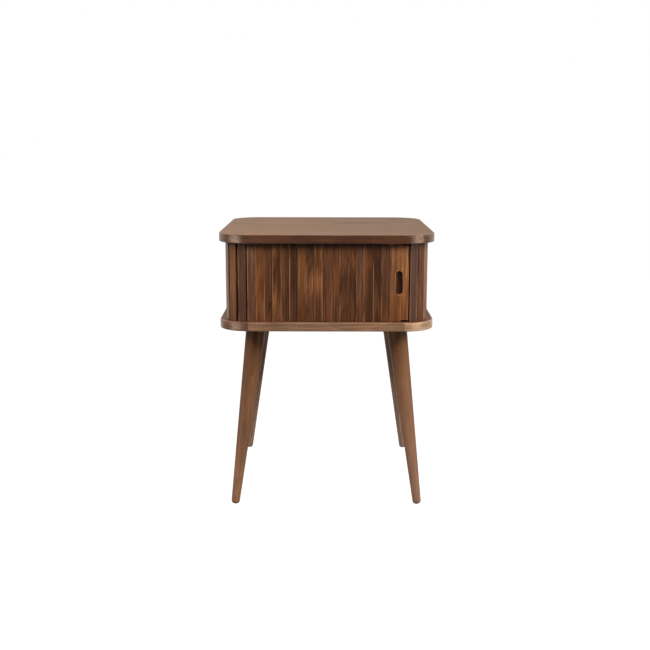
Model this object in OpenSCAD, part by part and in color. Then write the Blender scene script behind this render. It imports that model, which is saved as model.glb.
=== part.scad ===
// Bedside table with a tambour door: two veneered boards with rounded corners, a slatted
// body between them and four splayed turned legs. The door's slats are glued to canvas and run
// in a groove in both boards: along the front, round the left side and behind the back panel.
// Units are millimetres. The origin is on the floor under the table's centre, the front faces -Y.

/* [Table] */
// Width of both boards
table_w = 450; // [430:1:520]
// Depth of both boards
table_d = 450; // [430:1:520]
// Height of the top face above the floor
table_h = 582; // [520:1:640]
// Thickness of each board
board_t = 18; // [17:0.5:24]
// Corner radius of the boards
board_r = 63.5; // [56:0.5:75]
// Chamfer along the boards' edges
board_ease = 1.2; // [0.5:0.1:2.5]
// Clear height between the boards
carcass_h = 164; // [130:1:200]

/* [Slatted body] */
// Distance from the boards' edge to the outer face of the slats
overhang = 13.5; // [11:0.5:18]
// Corner radius of the slats' outer face
body_r = 47.5; // [44:0.5:52]
// Distance from one door slat to the next, along the canvas
slat_pitch = 17.3; // [15:0.05:20]
// Gap between two door slats on a straight stretch
slat_gap = 0.3; // [0.2:0.05:0.8]
// Thickness of a slat
slat_t = 10; // [9:0.25:11]
// Chamfer on a slat's two outer edges
slat_chamfer = 0.7; // [0.3:0.1:1.2]
// Gap between a slat's shoulder and the board
shoulder_gap = 0.8; // [0.5:0.1:1.5]
// Gap between two fixed slats at their outer face
fixed_gap = 0.75; // [0.4:0.05:1.2]
// How much narrower a fixed slat is at its inner face, on each side
fixed_bevel = 1.7; // [1.4:0.1:2.2]
// Thickness of the canvas
canvas_t = 0.8; // [0.5:0.1:1.2]
// Distance from the canvas's edges to a slat's shoulders, and from its end to the finger recess
canvas_margin = 1; // [0.5:0.25:4]

/* [Groove and tongues] */
// Depth of a tongue's outer face behind the slat's outer face
tongue_set = 4; // [3.5:0.25:5]
// Thickness of a tongue
tongue_t = 5; // [4:0.25:5]
// Width of a tongue, along the groove
tongue_w = 11; // [8:0.5:13]
// Length of a tongue, past the slat's shoulder
tongue_l = 6; // [4:0.25:7]
// Play between a tongue and each wall of the groove
tongue_play = 0.5; // [0.4:0.05:0.8]
// Depth of the groove in each board
groove_deep = 6.5; // [6.3:0.1:8]

/* [Lead slat] */
// Width of the lead slat
lead_w = 38.9; // [34:0.1:44]
// Gap between the closed lead slat and the first fixed slat
door_gap = 3.4; // [2:0.1:6]
// Width of the finger recess
pull_w = 14; // [11:0.5:16]
// Height of the finger recess
pull_h = 49; // [40:1:60]
// Depth of the finger recess, which doesn't go through the slat
pull_deep = 8; // [5:0.25:8.5]
// Width of the relief at the lead slat's free corners
relief_w = 16; // [12:0.5:18]
// Height of that relief
relief_h = 3; // [1:0.25:4]

/* [Lining and back] */
// Thickness of the three lining panels
lining_t = 12; // [10:0.5:15]
// Clearance between the lining's corners and the door's canvas
lining_clear = 2; // [1:0.25:4]
// Thickness of the back panel
back_t = 6; // [4:0.5:8]
// Running gap between the door's slats and the back panel
back_gap = 0.7; // [0.5:0.1:1.5]
// How far the back panel laps each rear corner
back_lap = 7; // [4:0.5:12]
// How deep the back panel sits in each board
back_seat = 3.5; // [2:0.25:5]
// Gap between the back panel and the walls of its seat
seat_play = 0.15; // [0.1:0.05:0.3]

/* [Legs] */
// Distance of each leg's axis from the bottom board's edges, where it meets that board
leg_inset = 75; // [68:1:90]
// How far a leg leans out sideways over its height
leg_out_x = 46; // [25:1:60]
// How far a leg leans out to the front or back over its height
leg_out_y = 51; // [25:1:60]
// Radius of a leg at its top
leg_top_r = 21; // [17:0.5:23]
// Radius of a leg at its foot
leg_foot_r = 9; // [8:0.1:12]
// Radius of the rounding at the foot
foot_round = 7; // [5:0.25:7.5]
// How deep the foot's end is cut flat
foot_flat = 0.6; // [0.4:0.05:1]

/* [Hardware] */
// Side of a square leg plate
plate_w = 60; // [56:1:70]
// Thickness of a leg plate
plate_t = 3; // [2:0.25:4]
// Thinnest part of the wedge under a leg plate
wedge_min = 0.5; // [0.3:0.1:2]
// Distance of a plate's screws from its centre, along each side
plate_hole_at = 23; // [22:0.5:25]
// Radius of a hanger bolt
bolt_r = 4; // [3:0.5:5]
// Length of a hanger bolt inside the leg
bolt_in_leg = 32; // [25:1:45]
// Length of a hanger bolt past the leg's top face
bolt_out = 13; // [11:0.5:15]
// Radius of the recess in the board over a hanger bolt
recess_r = 8; // [7:0.5:10]
// Radius of a plate screw's shank
screw_r = 2; // [1.5:0.25:2.5]
// Length of a plate screw's shank above the plate
screw_l = 13; // [9:0.5:14]
// Radius of a plate screw's head
screw_head_r = 4; // [3.5:0.25:4.5]
// Height of a plate screw's head
screw_head_h = 2; // [1.5:0.25:3]
// Radius of a carcass screw's shank
carcass_screw_r = 2.5; // [2:0.25:3]
// Length of a carcass screw inside a lining panel
carcass_screw_l = 32; // [25:1:45]
// Radius of a dowel
dowel_r = 4; // [3:0.5:4]
// Length of a dowel inside a lining panel
dowel_in_panel = 18; // [12:1:25]
// Length of a dowel inside the top board
dowel_in_board = 11; // [8:0.5:12]
// Radial play of a screw, bolt or dowel in its hole
hole_play = 0.05; // [0.03:0.01:0.1]

/* [Hidden] */
$fn = 96;
cut = 1; // how far a cutting solid runs past what it cuts
far = 2000;

// Levels
shelf_z = table_h - board_t - carcass_h; // top face of the bottom board
under_z = shelf_z - board_t;
roof_z = shelf_z + carcass_h; // underside of the top board

// The slats' outer face: a rounded rectangle, with its rear moved in for the back panel
side_x = table_w / 2 - overhang;
front_y = -(table_d / 2 - overhang);
back_outer_y = table_d / 2 - overhang;
rear_y = back_outer_y - back_t - back_gap;
turn_x = side_x - body_r; // centres of the corners
turn_front_y = front_y + body_r;
turn_rear_y = rear_y - body_r;
side_len = turn_rear_y - turn_front_y;
canvas_r = body_r - slat_t;
slat_w = slat_pitch - slat_gap;

// Door: distances along the canvas, from the front-left corner's first point towards the back
turn_len = canvas_r * PI / 2;
front_count = floor((2 * turn_x - slat_pitch) / slat_pitch);
lead_left = -turn_x + front_count * slat_pitch;
lead_right = lead_left + lead_w;
corner_count = round(turn_len / slat_pitch);
tail_count = floor((turn_len + side_len + turn_len) / slat_pitch);
side_last = floor((turn_len + side_len + slat_pitch * 0.2) / slat_pitch) - 1;
tail_end = (tail_count + 0.1) * slat_pitch;

// Fixed slats: distances along their outer face, from the front-right corner's first point
fixed_pitch = slat_w + fixed_gap;
fixed_turn_len = body_r * PI / 2;
first_angle = asin((lead_right + door_gap - turn_x) / body_r) + atan(slat_w / 2 / body_r);
fixed_start = first_angle * PI / 180 * body_r;
fixed_corner_last = floor((fixed_turn_len - fixed_start) / fixed_pitch);
fixed_side_last = floor((fixed_turn_len + side_len - fixed_start) / fixed_pitch);
fixed_last = floor((2 * fixed_turn_len + side_len - fixed_start) / fixed_pitch);

// Lining: its outer corners stay clear of the canvas where it turns
lining_reach = (canvas_r - canvas_t - lining_clear) / sqrt(2);
lining_x = turn_x + lining_reach;
lining_rear_y = turn_rear_y + lining_reach;
lining_front_y = turn_front_y - lining_reach;
lining_len = lining_rear_y - lining_front_y;

// Legs: the axis leans outwards along the diagonal
leg_x = table_w / 2 - leg_inset;
leg_y = table_d / 2 - leg_inset;
leg_lean = norm([leg_out_x, leg_out_y]);
leg_tilt = atan(leg_lean / under_z);
leg_top_z = under_z - plate_t - wedge_min - leg_top_r * sin(leg_tilt);
leg_len = leg_top_z / cos(leg_tilt);

function two_digits(i) = str(i < 10 ? "0" : "", i);
function door_slat_name(i) = str("door_slat_", two_digits(i));
CORNERS = [
    ["front_left", -1, -1],
    ["front_right", 1, -1],
    ["rear_left", -1, 1],
    ["rear_right", 1, 1]
];

// ---------- outlines ----------

// A rectangle from low to high, with all its corners rounded
module rounded(low, high, r) {
    translate([low[0] + r, low[1]]) square([high[0] - low[0] - 2 * r, high[1] - low[1]]);
    translate([low[0], low[1] + r]) square([high[0] - low[0], high[1] - low[1] - 2 * r]);
    for (x = [low[0] + r, high[0] - r], y = [low[1] + r, high[1] - r])
        translate([x, y]) circle(r);
}

// The slats' outer face, moved inwards
module body_outline(inset) {
    rounded([-side_x + inset, front_y + inset], [side_x - inset, rear_y - inset], body_r - inset);
}

module groove_outline() {
    difference() {
        body_outline(tongue_set - tongue_play);
        body_outline(tongue_set + tongue_t + tongue_play);
    }
}

// ---------- boards ----------

// One half of a board's cross-section, with its edge chamfered
module edge_profile(reach) {
    polygon([
        [0, 0],
        [reach - board_ease, 0],
        [reach, board_ease],
        [reach, board_t - board_ease],
        [reach - board_ease, board_t],
        [0, board_t]
    ]);
}

// A stretch of board along x, chamfered on both sides
module board_stretch(length, width) {
    rotate([90, 0, 90]) linear_extrude(length, center = true) {
        edge_profile(width / 2);
        mirror([1, 0]) edge_profile(width / 2);
    }
}

module board(z) translate([0, 0, z]) {
    board_stretch(table_w - 2 * board_r, table_d);
    rotate(90) board_stretch(table_d - 2 * board_r, table_w);
    for (c = CORNERS)
        translate([c[1] * (table_w / 2 - board_r), c[2] * (table_d / 2 - board_r)])
            rotate_extrude() edge_profile(board_r);
}

// The groove for the tongues, from z upwards
module groove_cut(z) {
    translate([0, 0, z]) linear_extrude(groove_deep + cut) groove_outline();
}

// The seat for the back panel, from z upwards
module seat_cut(z) {
    translate([-turn_x - back_lap - seat_play, back_outer_y - back_t - seat_play, z])
        cube([2 * (turn_x + back_lap + seat_play), back_t + 2 * seat_play, back_seat + seat_play + cut]);
}

module top_board() color("#8a6248") difference() {
    board(roof_z);
    groove_cut(roof_z - cut);
    seat_cut(roof_z - cut);
    at_dowels()
        translate([0, 0, -cut]) cylinder(r = dowel_r + hole_play, h = dowel_in_board + hole_play + cut);
}

module bottom_board() color("#8a6248") difference() {
    board(under_z);
    groove_cut(shelf_z - groove_deep);
    seat_cut(shelf_z - back_seat - seat_play);
    at_carcass_screws() carcass_screw(hole_play, cut);
    for (c = CORNERS) {
        translate([c[1] * leg_x, c[2] * leg_y, under_z - cut])
            cylinder(r = recess_r, h = bolt_out - plate_t + cut);
        at_plate_screws(c)
            translate([0, 0, -cut]) cylinder(r = screw_r + hole_play, h = screw_l + hole_play + cut);
    }
}

// ---------- lining, back panel and what joins them ----------

// Three places along a side lining and two along the rear one
module at_joints(z) {
    for (x = [-1, 1], k = [1, 3, 5])
        translate([x * (lining_x - lining_t / 2), lining_front_y + lining_len * k / 6, z]) children();
    for (x = [-0.5, 0.5])
        translate([x * lining_x, lining_rear_y - lining_t / 2, z]) children();
}

module at_dowels() at_joints(roof_z) children();
module at_carcass_screws() at_joints(under_z) children();

module side_lining(side) color("#7d573f") difference() {
    translate([side > 0 ? lining_x - lining_t : -lining_x, lining_front_y, shelf_z])
        cube([lining_t, lining_len, carcass_h]);
    lining_holes();
}

module rear_lining() color("#7d573f") difference() {
    translate([-lining_x + lining_t, lining_rear_y - lining_t, shelf_z])
        cube([2 * (lining_x - lining_t), lining_t, carcass_h]);
    lining_holes();
}

module lining_holes() {
    at_dowels()
        translate([0, 0, -dowel_in_panel - hole_play])
            cylinder(r = dowel_r + hole_play, h = dowel_in_panel + hole_play + cut);
    at_carcass_screws() carcass_screw(hole_play, 0);
}

module back_panel() color("#7d573f")
    translate([-turn_x - back_lap, back_outer_y - back_t, shelf_z - back_seat])
        cube([2 * (turn_x + back_lap), back_t, carcass_h + 2 * back_seat]);

module top_dowels() color("#c9a878")
    at_dowels() translate([0, 0, -dowel_in_panel]) cylinder(r = dowel_r, h = dowel_in_panel + dowel_in_board);

// Countersunk screw, its head flush with the underside of the bottom board
module carcass_screw(play, past) {
    head_r = 2 * carcass_screw_r;
    translate([0, 0, carcass_screw_r - cut / 2])
        cylinder(r = carcass_screw_r + play, h = board_t + carcass_screw_l + play + cut / 2 - carcass_screw_r);
    cylinder(r1 = head_r + play, r2 = carcass_screw_r + play, h = carcass_screw_r);
    if (past > 0) translate([0, 0, -past]) cylinder(r = head_r + play, h = past);
}

module carcass_screws() color("#8c8c88") at_carcass_screws() carcass_screw(0, 0);

// ---------- slats ----------

// A slat's outline, centred on x, its outer face at y = -body_r; the bevel narrows its inner face
module slat_outline(w, bevel) {
    outer = -body_r;
    inner = outer + slat_t;
    polygon([
        [-w / 2 + slat_chamfer, outer],
        [w / 2 - slat_chamfer, outer],
        [w / 2, outer + slat_chamfer],
        [w / 2 - bevel, inner],
        [-w / 2 + bevel, inner],
        [-w / 2, outer + slat_chamfer]
    ]);
}

// A tongue runs from one groove through the slat to the other
module tongue(x, bottom, top) {
    translate([x - tongue_w / 2, -body_r + tongue_set, bottom])
        cube([tongue_w, tongue_t, top - bottom]);
}

module slat(bevel = 0) {
    low = shelf_z + shoulder_gap;
    high = roof_z - shoulder_gap;
    translate([0, 0, low]) linear_extrude(high - low) slat_outline(slat_w, bevel);
    tongue(0, low - tongue_l, high + tongue_l);
}

// Puts a door slat at a distance along the canvas: 0 is where the front meets the left corner
module on_canvas(s) {
    side_s = s - turn_len;
    rear_s = side_s - side_len;
    if (s <= 0)
        translate([-turn_x - s, turn_front_y]) children();
    else if (side_s <= 0)
        translate([-turn_x, turn_front_y]) rotate(-s / canvas_r * 180 / PI) children();
    else if (rear_s <= 0)
        translate([-turn_x, turn_front_y + side_s]) rotate(-90) children();
    else
        translate([-turn_x, turn_rear_y]) rotate(-90 - rear_s / canvas_r * 180 / PI) children();
}

// Puts a fixed slat at a distance along its outer face: 0 is where the front meets the right corner
module on_fixed_side(s) {
    side_s = s - fixed_turn_len;
    rear_s = side_s - side_len;
    if (side_s <= 0)
        translate([turn_x, turn_front_y]) rotate(s / body_r * 180 / PI) children();
    else if (rear_s <= 0)
        translate([turn_x, turn_front_y + side_s]) rotate(90) children();
    else
        translate([turn_x, turn_rear_y]) rotate(90 + rear_s / body_r * 180 / PI) children();
}

// Door slat 1 is the one at the left end of the front
module door_slat(i) color(i % 3 == 0 ? "#8f5c38" : i % 3 == 1 ? "#6a442c" : "#754c33")
    on_canvas(-(i - 0.5) * slat_pitch) slat();

module tail_slats(first, last) color("#75503a")
    for (i = [first : last]) on_canvas((i + 0.5) * slat_pitch) slat();

module fixed_slats(first, last) color("#75503a")
    for (i = [first : last]) on_fixed_side(fixed_start + i * fixed_pitch) slat(fixed_bevel);

// The broad slat with the finger recess; its tongues are near its left edge, so that it can turn in
module lead_slat() color("#996640") difference() {
    low = shelf_z + shoulder_gap;
    high = roof_z - shoulder_gap;
    w = lead_w - slat_gap / 2;
    union() {
        translate([lead_left + slat_gap / 2 + w / 2, turn_front_y, low])
            linear_extrude(high - low) slat_outline(w, 0);
        translate([0, turn_front_y])
            tongue(lead_left + slat_pitch / 2, low - tongue_l, high + tongue_l);
    }
    finger_recess();
    for (z = [low - cut, high - relief_h])
        translate([lead_right - relief_w, front_y - cut, z])
            cube([relief_w + cut, slat_t + 2 * cut, relief_h + cut]);
}

module finger_recess() {
    mid_x = lead_left + lead_w / 2;
    mid_z = (shelf_z + roof_z) / 2;
    reach = (pull_h - pull_w) / 2;
    translate([mid_x, front_y - cut, mid_z]) {
        for (z = [-reach, reach])
            translate([0, 0, z]) rotate([-90, 0, 0]) cylinder(d = pull_w, h = pull_deep + cut);
        translate([-pull_w / 2, 0, -reach]) cube([pull_w, pull_deep + cut, 2 * reach]);
    }
}

// ---------- canvas ----------

canvas_low = shelf_z + shoulder_gap + canvas_margin;
canvas_h = carcass_h - 2 * (shoulder_gap + canvas_margin);

// The part of the canvas's run right round the body that lies in the outlines given as children
module canvas_within() translate([0, 0, canvas_low]) linear_extrude(canvas_h) intersection() {
    difference() {
        body_outline(slat_t);
        body_outline(slat_t + canvas_t);
    }
    union() children();
}

module door_canvas() color("#3a2f28")
    translate([-turn_x, front_y + slat_t, canvas_low])
        cube([turn_x + lead_left + (lead_w - pull_w) / 2 - canvas_margin, canvas_t, canvas_h]);

// From the front-left corner round to the door's last slat
module left_canvas() color("#3a2f28") {
    rear_angle = min((tail_end - turn_len - side_len) / canvas_r * 180 / PI, 90);
    canvas_within() {
        translate([-side_x, front_y]) square([body_r, turn_rear_y - front_y]);
        translate([-side_x, front_y]) square([body_r - canvas_r * cos(rear_angle), rear_y - front_y]);
    }
}

// From the first fixed slat round to the last
module right_canvas() color("#3a2f28") {
    start_x = turn_x + canvas_r * sin(first_angle) - slat_w / 2;
    canvas_within() {
        translate([start_x, front_y]) square([side_x - start_x, rear_y - front_y]);
        translate([turn_x, 0]) square([body_r, rear_y]);
    }
}

// ---------- legs ----------

// Puts what is drawn along +Z on a leg's axis, with z = 0 at the floor; the quarter turn puts the
// start of each round face at the side of the lean
module on_leg(c) {
    translate([c[1] * (leg_x + leg_out_x), c[2] * (leg_y + leg_out_y), 0])
        rotate([0, leg_tilt, atan2(-c[2] * leg_out_y, -c[1] * leg_out_x)]) rotate(90) children();
}

module leg(c) color("#7a5238") difference() {
    intersection() {
        on_leg(c) rotate_extrude() leg_profile();
        translate([-far / 2, -far / 2, 0]) cube(far);
    }
    on_leg(c) translate([0, 0, leg_len - bolt_in_leg - hole_play])
        cylinder(r = bolt_r + hole_play, h = bolt_in_leg + hole_play + cut);
}

// A straight taper with a rounded foot, which reaches below the floor by the depth of its flat
module leg_profile() {
    end = -foot_flat;
    steps = 8;
    polygon(concat(
        [[0, end]],
        [for (k = [0 : steps]) let (a = 90 * k / steps)
            [leg_foot_r - foot_round + foot_round * sin(a), end + foot_round * (1 - cos(a))]],
        [[leg_top_r, leg_len], [0, leg_len]]
    ));
}

// A square plate with a wedge that the leg's square-cut top bears on
module leg_plate(c) color("#55565a") difference() {
    union() {
        translate([c[1] * leg_x - plate_w / 2, c[2] * leg_y - plate_w / 2, under_z - plate_t])
            cube([plate_w, plate_w, plate_t]);
        difference() {
            on_leg(c) translate([0, 0, leg_len]) cylinder(r = leg_top_r, h = 2 * leg_top_r);
            translate([c[1] * leg_x, c[2] * leg_y, under_z - plate_t / 2 + 2 * leg_top_r])
                cube(4 * leg_top_r, center = true);
        }
    }
    on_leg(c) translate([0, 0, leg_len - cut])
        cylinder(r = bolt_r + hole_play, h = bolt_out + 2 * cut);
    at_plate_screws(c)
        translate([0, 0, -plate_t - cut]) cylinder(r = screw_r + 4 * hole_play, h = plate_t + 2 * cut);
}

module at_plate_screws(c) {
    for (x = [-1, 1], y = [-1, 1])
        translate([c[1] * leg_x + x * plate_hole_at, c[2] * leg_y + y * plate_hole_at, under_z])
            children();
}

module hanger_bolts() color("#8c8c88")
    for (c = CORNERS) on_leg(c) translate([0, 0, leg_len - bolt_in_leg])
        cylinder(r = bolt_r, h = bolt_in_leg + bolt_out);

module plate_screws() color("#8c8c88")
    for (c = CORNERS) at_plate_screws(c) {
        translate([0, 0, -plate_t]) cylinder(r = screw_r, h = plate_t + screw_l);
        translate([0, 0, -plate_t - screw_head_h]) cylinder(r = screw_head_r, h = screw_head_h);
    }

// ---------- the table ----------

top_board();
bottom_board();
side_lining(-1);  // left_lining
side_lining(1);  // right_lining
rear_lining();
back_panel();
top_dowels();
carcass_screws();
lead_slat();
door_canvas();
for (i = [1 : front_count])
    door_slat(i);
tail_slats(0, corner_count - 1);  // left_front_corner_slats
tail_slats(corner_count, side_last);  // left_side_slats
tail_slats(side_last + 1, tail_count - 1);  // left_rear_corner_slats
left_canvas();
fixed_slats(0, fixed_corner_last);  // right_front_corner_slats
fixed_slats(fixed_corner_last + 1, fixed_side_last);  // right_side_slats
fixed_slats(fixed_side_last + 1, fixed_last);  // right_rear_corner_slats
right_canvas();
for (c = CORNERS) {
    leg(c);
    leg_plate(c);
}
hanger_bolts();
plate_screws();
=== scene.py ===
import math
import random

import bmesh
import bpy
from mathutils import Matrix, Vector


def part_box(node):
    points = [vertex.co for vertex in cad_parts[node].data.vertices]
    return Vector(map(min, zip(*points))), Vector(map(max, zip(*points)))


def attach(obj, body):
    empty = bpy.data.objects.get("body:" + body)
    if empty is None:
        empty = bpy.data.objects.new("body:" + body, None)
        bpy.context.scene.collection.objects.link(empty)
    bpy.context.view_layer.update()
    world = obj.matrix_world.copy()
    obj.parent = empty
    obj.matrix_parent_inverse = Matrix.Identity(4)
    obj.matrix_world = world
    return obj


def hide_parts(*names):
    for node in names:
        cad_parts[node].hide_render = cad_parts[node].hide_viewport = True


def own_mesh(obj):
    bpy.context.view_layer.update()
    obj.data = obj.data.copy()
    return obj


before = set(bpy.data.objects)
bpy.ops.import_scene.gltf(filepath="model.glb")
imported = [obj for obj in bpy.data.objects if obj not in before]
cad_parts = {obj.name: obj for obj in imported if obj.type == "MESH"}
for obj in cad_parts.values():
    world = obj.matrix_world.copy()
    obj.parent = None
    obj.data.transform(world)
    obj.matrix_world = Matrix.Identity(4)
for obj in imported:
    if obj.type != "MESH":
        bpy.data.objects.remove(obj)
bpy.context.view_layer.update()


# ---------------------------------------------------------------------------------------------
# The view. The table is seen squarely from the front by someone who stands two metres away and
# looks down a little, so the top shows as a narrow band and the rear legs show between the front
# ones.
eye = Vector((-0.0032, -2.2548, 0.7801))
look_down = 0.187
camera_roll = 0.0019

camera = bpy.data.objects.new("camera", bpy.data.cameras.new("camera"))
camera.data.sensor_width = 36.0
camera.data.lens = 55.45
camera.data.clip_end = 200.0
camera.matrix_world = (Matrix.Translation(eye)
                       @ Matrix.Rotation(math.pi / 2 - look_down, 4, "X")
                       @ Matrix.Rotation(camera_roll, 4, "Z"))
bpy.context.collection.objects.link(camera)
bpy.context.scene.camera = camera
bpy.context.scene.view_settings.view_transform = "Standard"


# ---------------------------------------------------------------------------------------------
# The studio. The table stands on pale paper before a white backdrop, and the room on the
# photographer's side is dim. One softbox stands left of the camera and one right of it, one hangs
# over the table and one over the camera. Two low strips only add sheen to the rounded corners.
def wire(tree, kind, feeds=None, **settings):
    """Adds a shader node, sets it up, and joins or fills the inputs that feeds names."""
    made = tree.nodes.new(kind)
    for name, value in settings.items():
        setattr(made, name, value)
    for name, value in (feeds or {}).items():
        if isinstance(value, bpy.types.NodeSocket):
            tree.links.new(value, made.inputs[name])
        else:
            made.inputs[name].default_value = value
    return made


def number(tree, operation, a, b=0.0, c=0.0):
    return wire(tree, "ShaderNodeMath", {0: a, 1: b, 2: c}, operation=operation).outputs[0]


def ramped(tree, value, low, high, out_low=0.0, out_high=1.0):
    """Spreads value from low..high smoothly over out_low..out_high."""
    feeds = {"Value": value, "From Min": low, "From Max": high, "To Min": out_low,
             "To Max": out_high}
    return wire(tree, "ShaderNodeMapRange", feeds, interpolation_type="SMOOTHSTEP").outputs[0]


def blended(tree, share, a, b, how="MIX"):
    return wire(tree, "ShaderNodeMix", {0: share, 6: a, 7: b}, data_type="RGBA",
                blend_type=how).outputs[2]


def fresh_material(name):
    material = bpy.data.materials.new(name)
    material.use_nodes = True
    material.node_tree.nodes.clear()
    return material, material.node_tree


def seen_as_backdrop(tree, lies_behind):
    """1 for what the camera sees directly, and for what shiny things see behind the table."""
    ray = wire(tree, "ShaderNodeLightPath")
    shiny = number(tree, "MAXIMUM", ray.outputs["Is Glossy Ray"],
                   ray.outputs["Is Transmission Ray"])
    return number(tree, "MAXIMUM", ray.outputs["Is Camera Ray"],
                  number(tree, "MULTIPLY", shiny, lies_behind))


paper, tree = fresh_material("studio_paper")
place = wire(tree, "ShaderNodeNewGeometry").outputs["Position"]
behind = ramped(tree, wire(tree, "ShaderNodeSeparateXYZ", {0: place}).outputs["Y"], 0.3, 1.5)
plain = wire(tree, "ShaderNodeBsdfDiffuse", {"Color": (0.2, 0.2, 0.2, 1)})
white = wire(tree, "ShaderNodeEmission", {"Color": (1, 1, 1, 1), "Strength": 0.95})
lit = wire(tree, "ShaderNodeAddShader", {0: plain.outputs[0], 1: white.outputs[0]})
both = wire(tree, "ShaderNodeMixShader", {0: seen_as_backdrop(tree, behind), 1: plain.outputs[0],
                                          2: lit.outputs[0]})
wire(tree, "ShaderNodeOutputMaterial", {"Surface": both.outputs[0]})

floor_reach = 40
floor_mesh = bpy.data.meshes.new("studio_floor")
floor_mesh.from_pydata([(x * floor_reach, y * floor_reach, 0)
                        for x, y in ((-1, -1), (1, -1), (1, 1), (-1, 1))], [], [(0, 1, 2, 3)])
floor_mesh.materials.append(paper)
floor = bpy.data.objects.new("studio_floor", floor_mesh)
bpy.context.collection.objects.link(floor)

room = bpy.data.worlds.new("studio_room")
room.use_nodes = True
bpy.context.scene.world = room
tree = room.node_tree
tree.nodes.clear()
toward = wire(tree, "ShaderNodeTexCoord").outputs["Generated"]
behind = ramped(tree, wire(tree, "ShaderNodeSeparateXYZ", {0: toward}).outputs["Y"], -0.15, 0.6)
dim = wire(tree, "ShaderNodeBackground",
           {"Color": blended(tree, behind, (0.05, 0.05, 0.052, 1), (0.65, 0.65, 0.65, 1))})
white = wire(tree, "ShaderNodeBackground", {"Color": (1, 1, 1, 1)})
both = wire(tree, "ShaderNodeMixShader", {0: seen_as_backdrop(tree, behind), 1: dim.outputs[0],
                                          2: white.outputs[0]})
wire(tree, "ShaderNodeOutputWorld", {"Surface": both.outputs[0]})


def softbox(name, at, aim, width, height, power, only_shine=False):
    lamp = bpy.data.lights.new(name, "AREA")
    lamp.shape = "RECTANGLE"
    lamp.size = width
    lamp.size_y = height
    lamp.energy = power
    held = bpy.data.objects.new(name, lamp)
    held.location = at
    held.rotation_euler = (Vector(aim) - Vector(at)).to_track_quat("-Z", "Y").to_euler()
    held.visible_diffuse = not only_shine
    bpy.context.collection.objects.link(held)


softbox("softbox_left", (-2.15, -1.15, 1.6), (0, 0, 0.45), 0.9, 0.9, 27)
softbox("softbox_right", (2.15, -1.15, 1.55), (0, 0, 0.45), 0.9, 0.9, 44)
softbox("softbox_above", (0, -0.9, 2.6), (0, -0.1, 0.4), 1.6, 1.2, 25)
softbox("softbox_over_camera", (0.3, -2.3, 2.2), (0, 0, 0.4), 1.2, 0.8, 15)
softbox("strip_left", (-1.85, -1.4, 0.22), (0, 0, 0.4), 1.5, 0.3, 13, only_shine=True)
softbox("strip_right", (1.85, -1.4, 0.22), (0, 0, 0.4), 1.5, 0.3, 12, only_shine=True)


# ---------------------------------------------------------------------------------------------
# The boards: the bottom one carries the slatted box and the legs, the top one closes it. Each is
# an 18 mm panel veneered in walnut, its grain running left to right. Solid strips are glued round
# its edge, straight ones and bent ones at the corners, and the arrises are eased by hand. A
# groove for the slats' tongues runs round the inner face.
board_low, board_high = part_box("bottom_board"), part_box("top_board")
board_half = (board_high[1].x - board_high[0].x) / 2
board_radius = 0.0635
arris = 0.0012
# narrow bands beside an arris, on the face and on the edge, which keep the flats' shading flat
face_band, edge_band = 0.0009, 0.0008
quarter_turn = [math.radians(22.5 * k) for k in range(5)]
groove_side, groove_rear, groove_draft = 0.208, 0.2013, 0.0002
groove_width, groove_depth, groove_radius = 0.006, 0.0065, 0.044
# how fast an edge strip's growth rings climb, and how far over and behind it their heart was
strip_climb, strip_heart = 0.03, (0.012, 0.02)
no_knot = (9.0, 9.0, 0.0)


def colour(red, green, blue):
    """A colour as paint charts give it, 0 to 255."""
    return tuple(((v / 255 + 0.055) / 1.055) ** 2.4 for v in (red, green, blue)) + (1.0,)


def group(name, takes, gives):
    """A shader node group with named inputs (their defaults show what they are) and outputs."""
    made = bpy.data.node_groups.new(name, "ShaderNodeTree")
    for label, value in takes.items():
        kind = {1: "Float", 3: "Vector", 4: "Color"}[len(value) if isinstance(value, tuple) else 1]
        socket = made.interface.new_socket(label, in_out="INPUT", socket_type="NodeSocket" + kind)
        socket.default_value = value
    for label, kind in gives.items():
        made.interface.new_socket(label, in_out="OUTPUT", socket_type="NodeSocket" + kind)
    return made, made.nodes.new("NodeGroupInput").outputs, made.nodes.new("NodeGroupOutput").inputs


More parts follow.
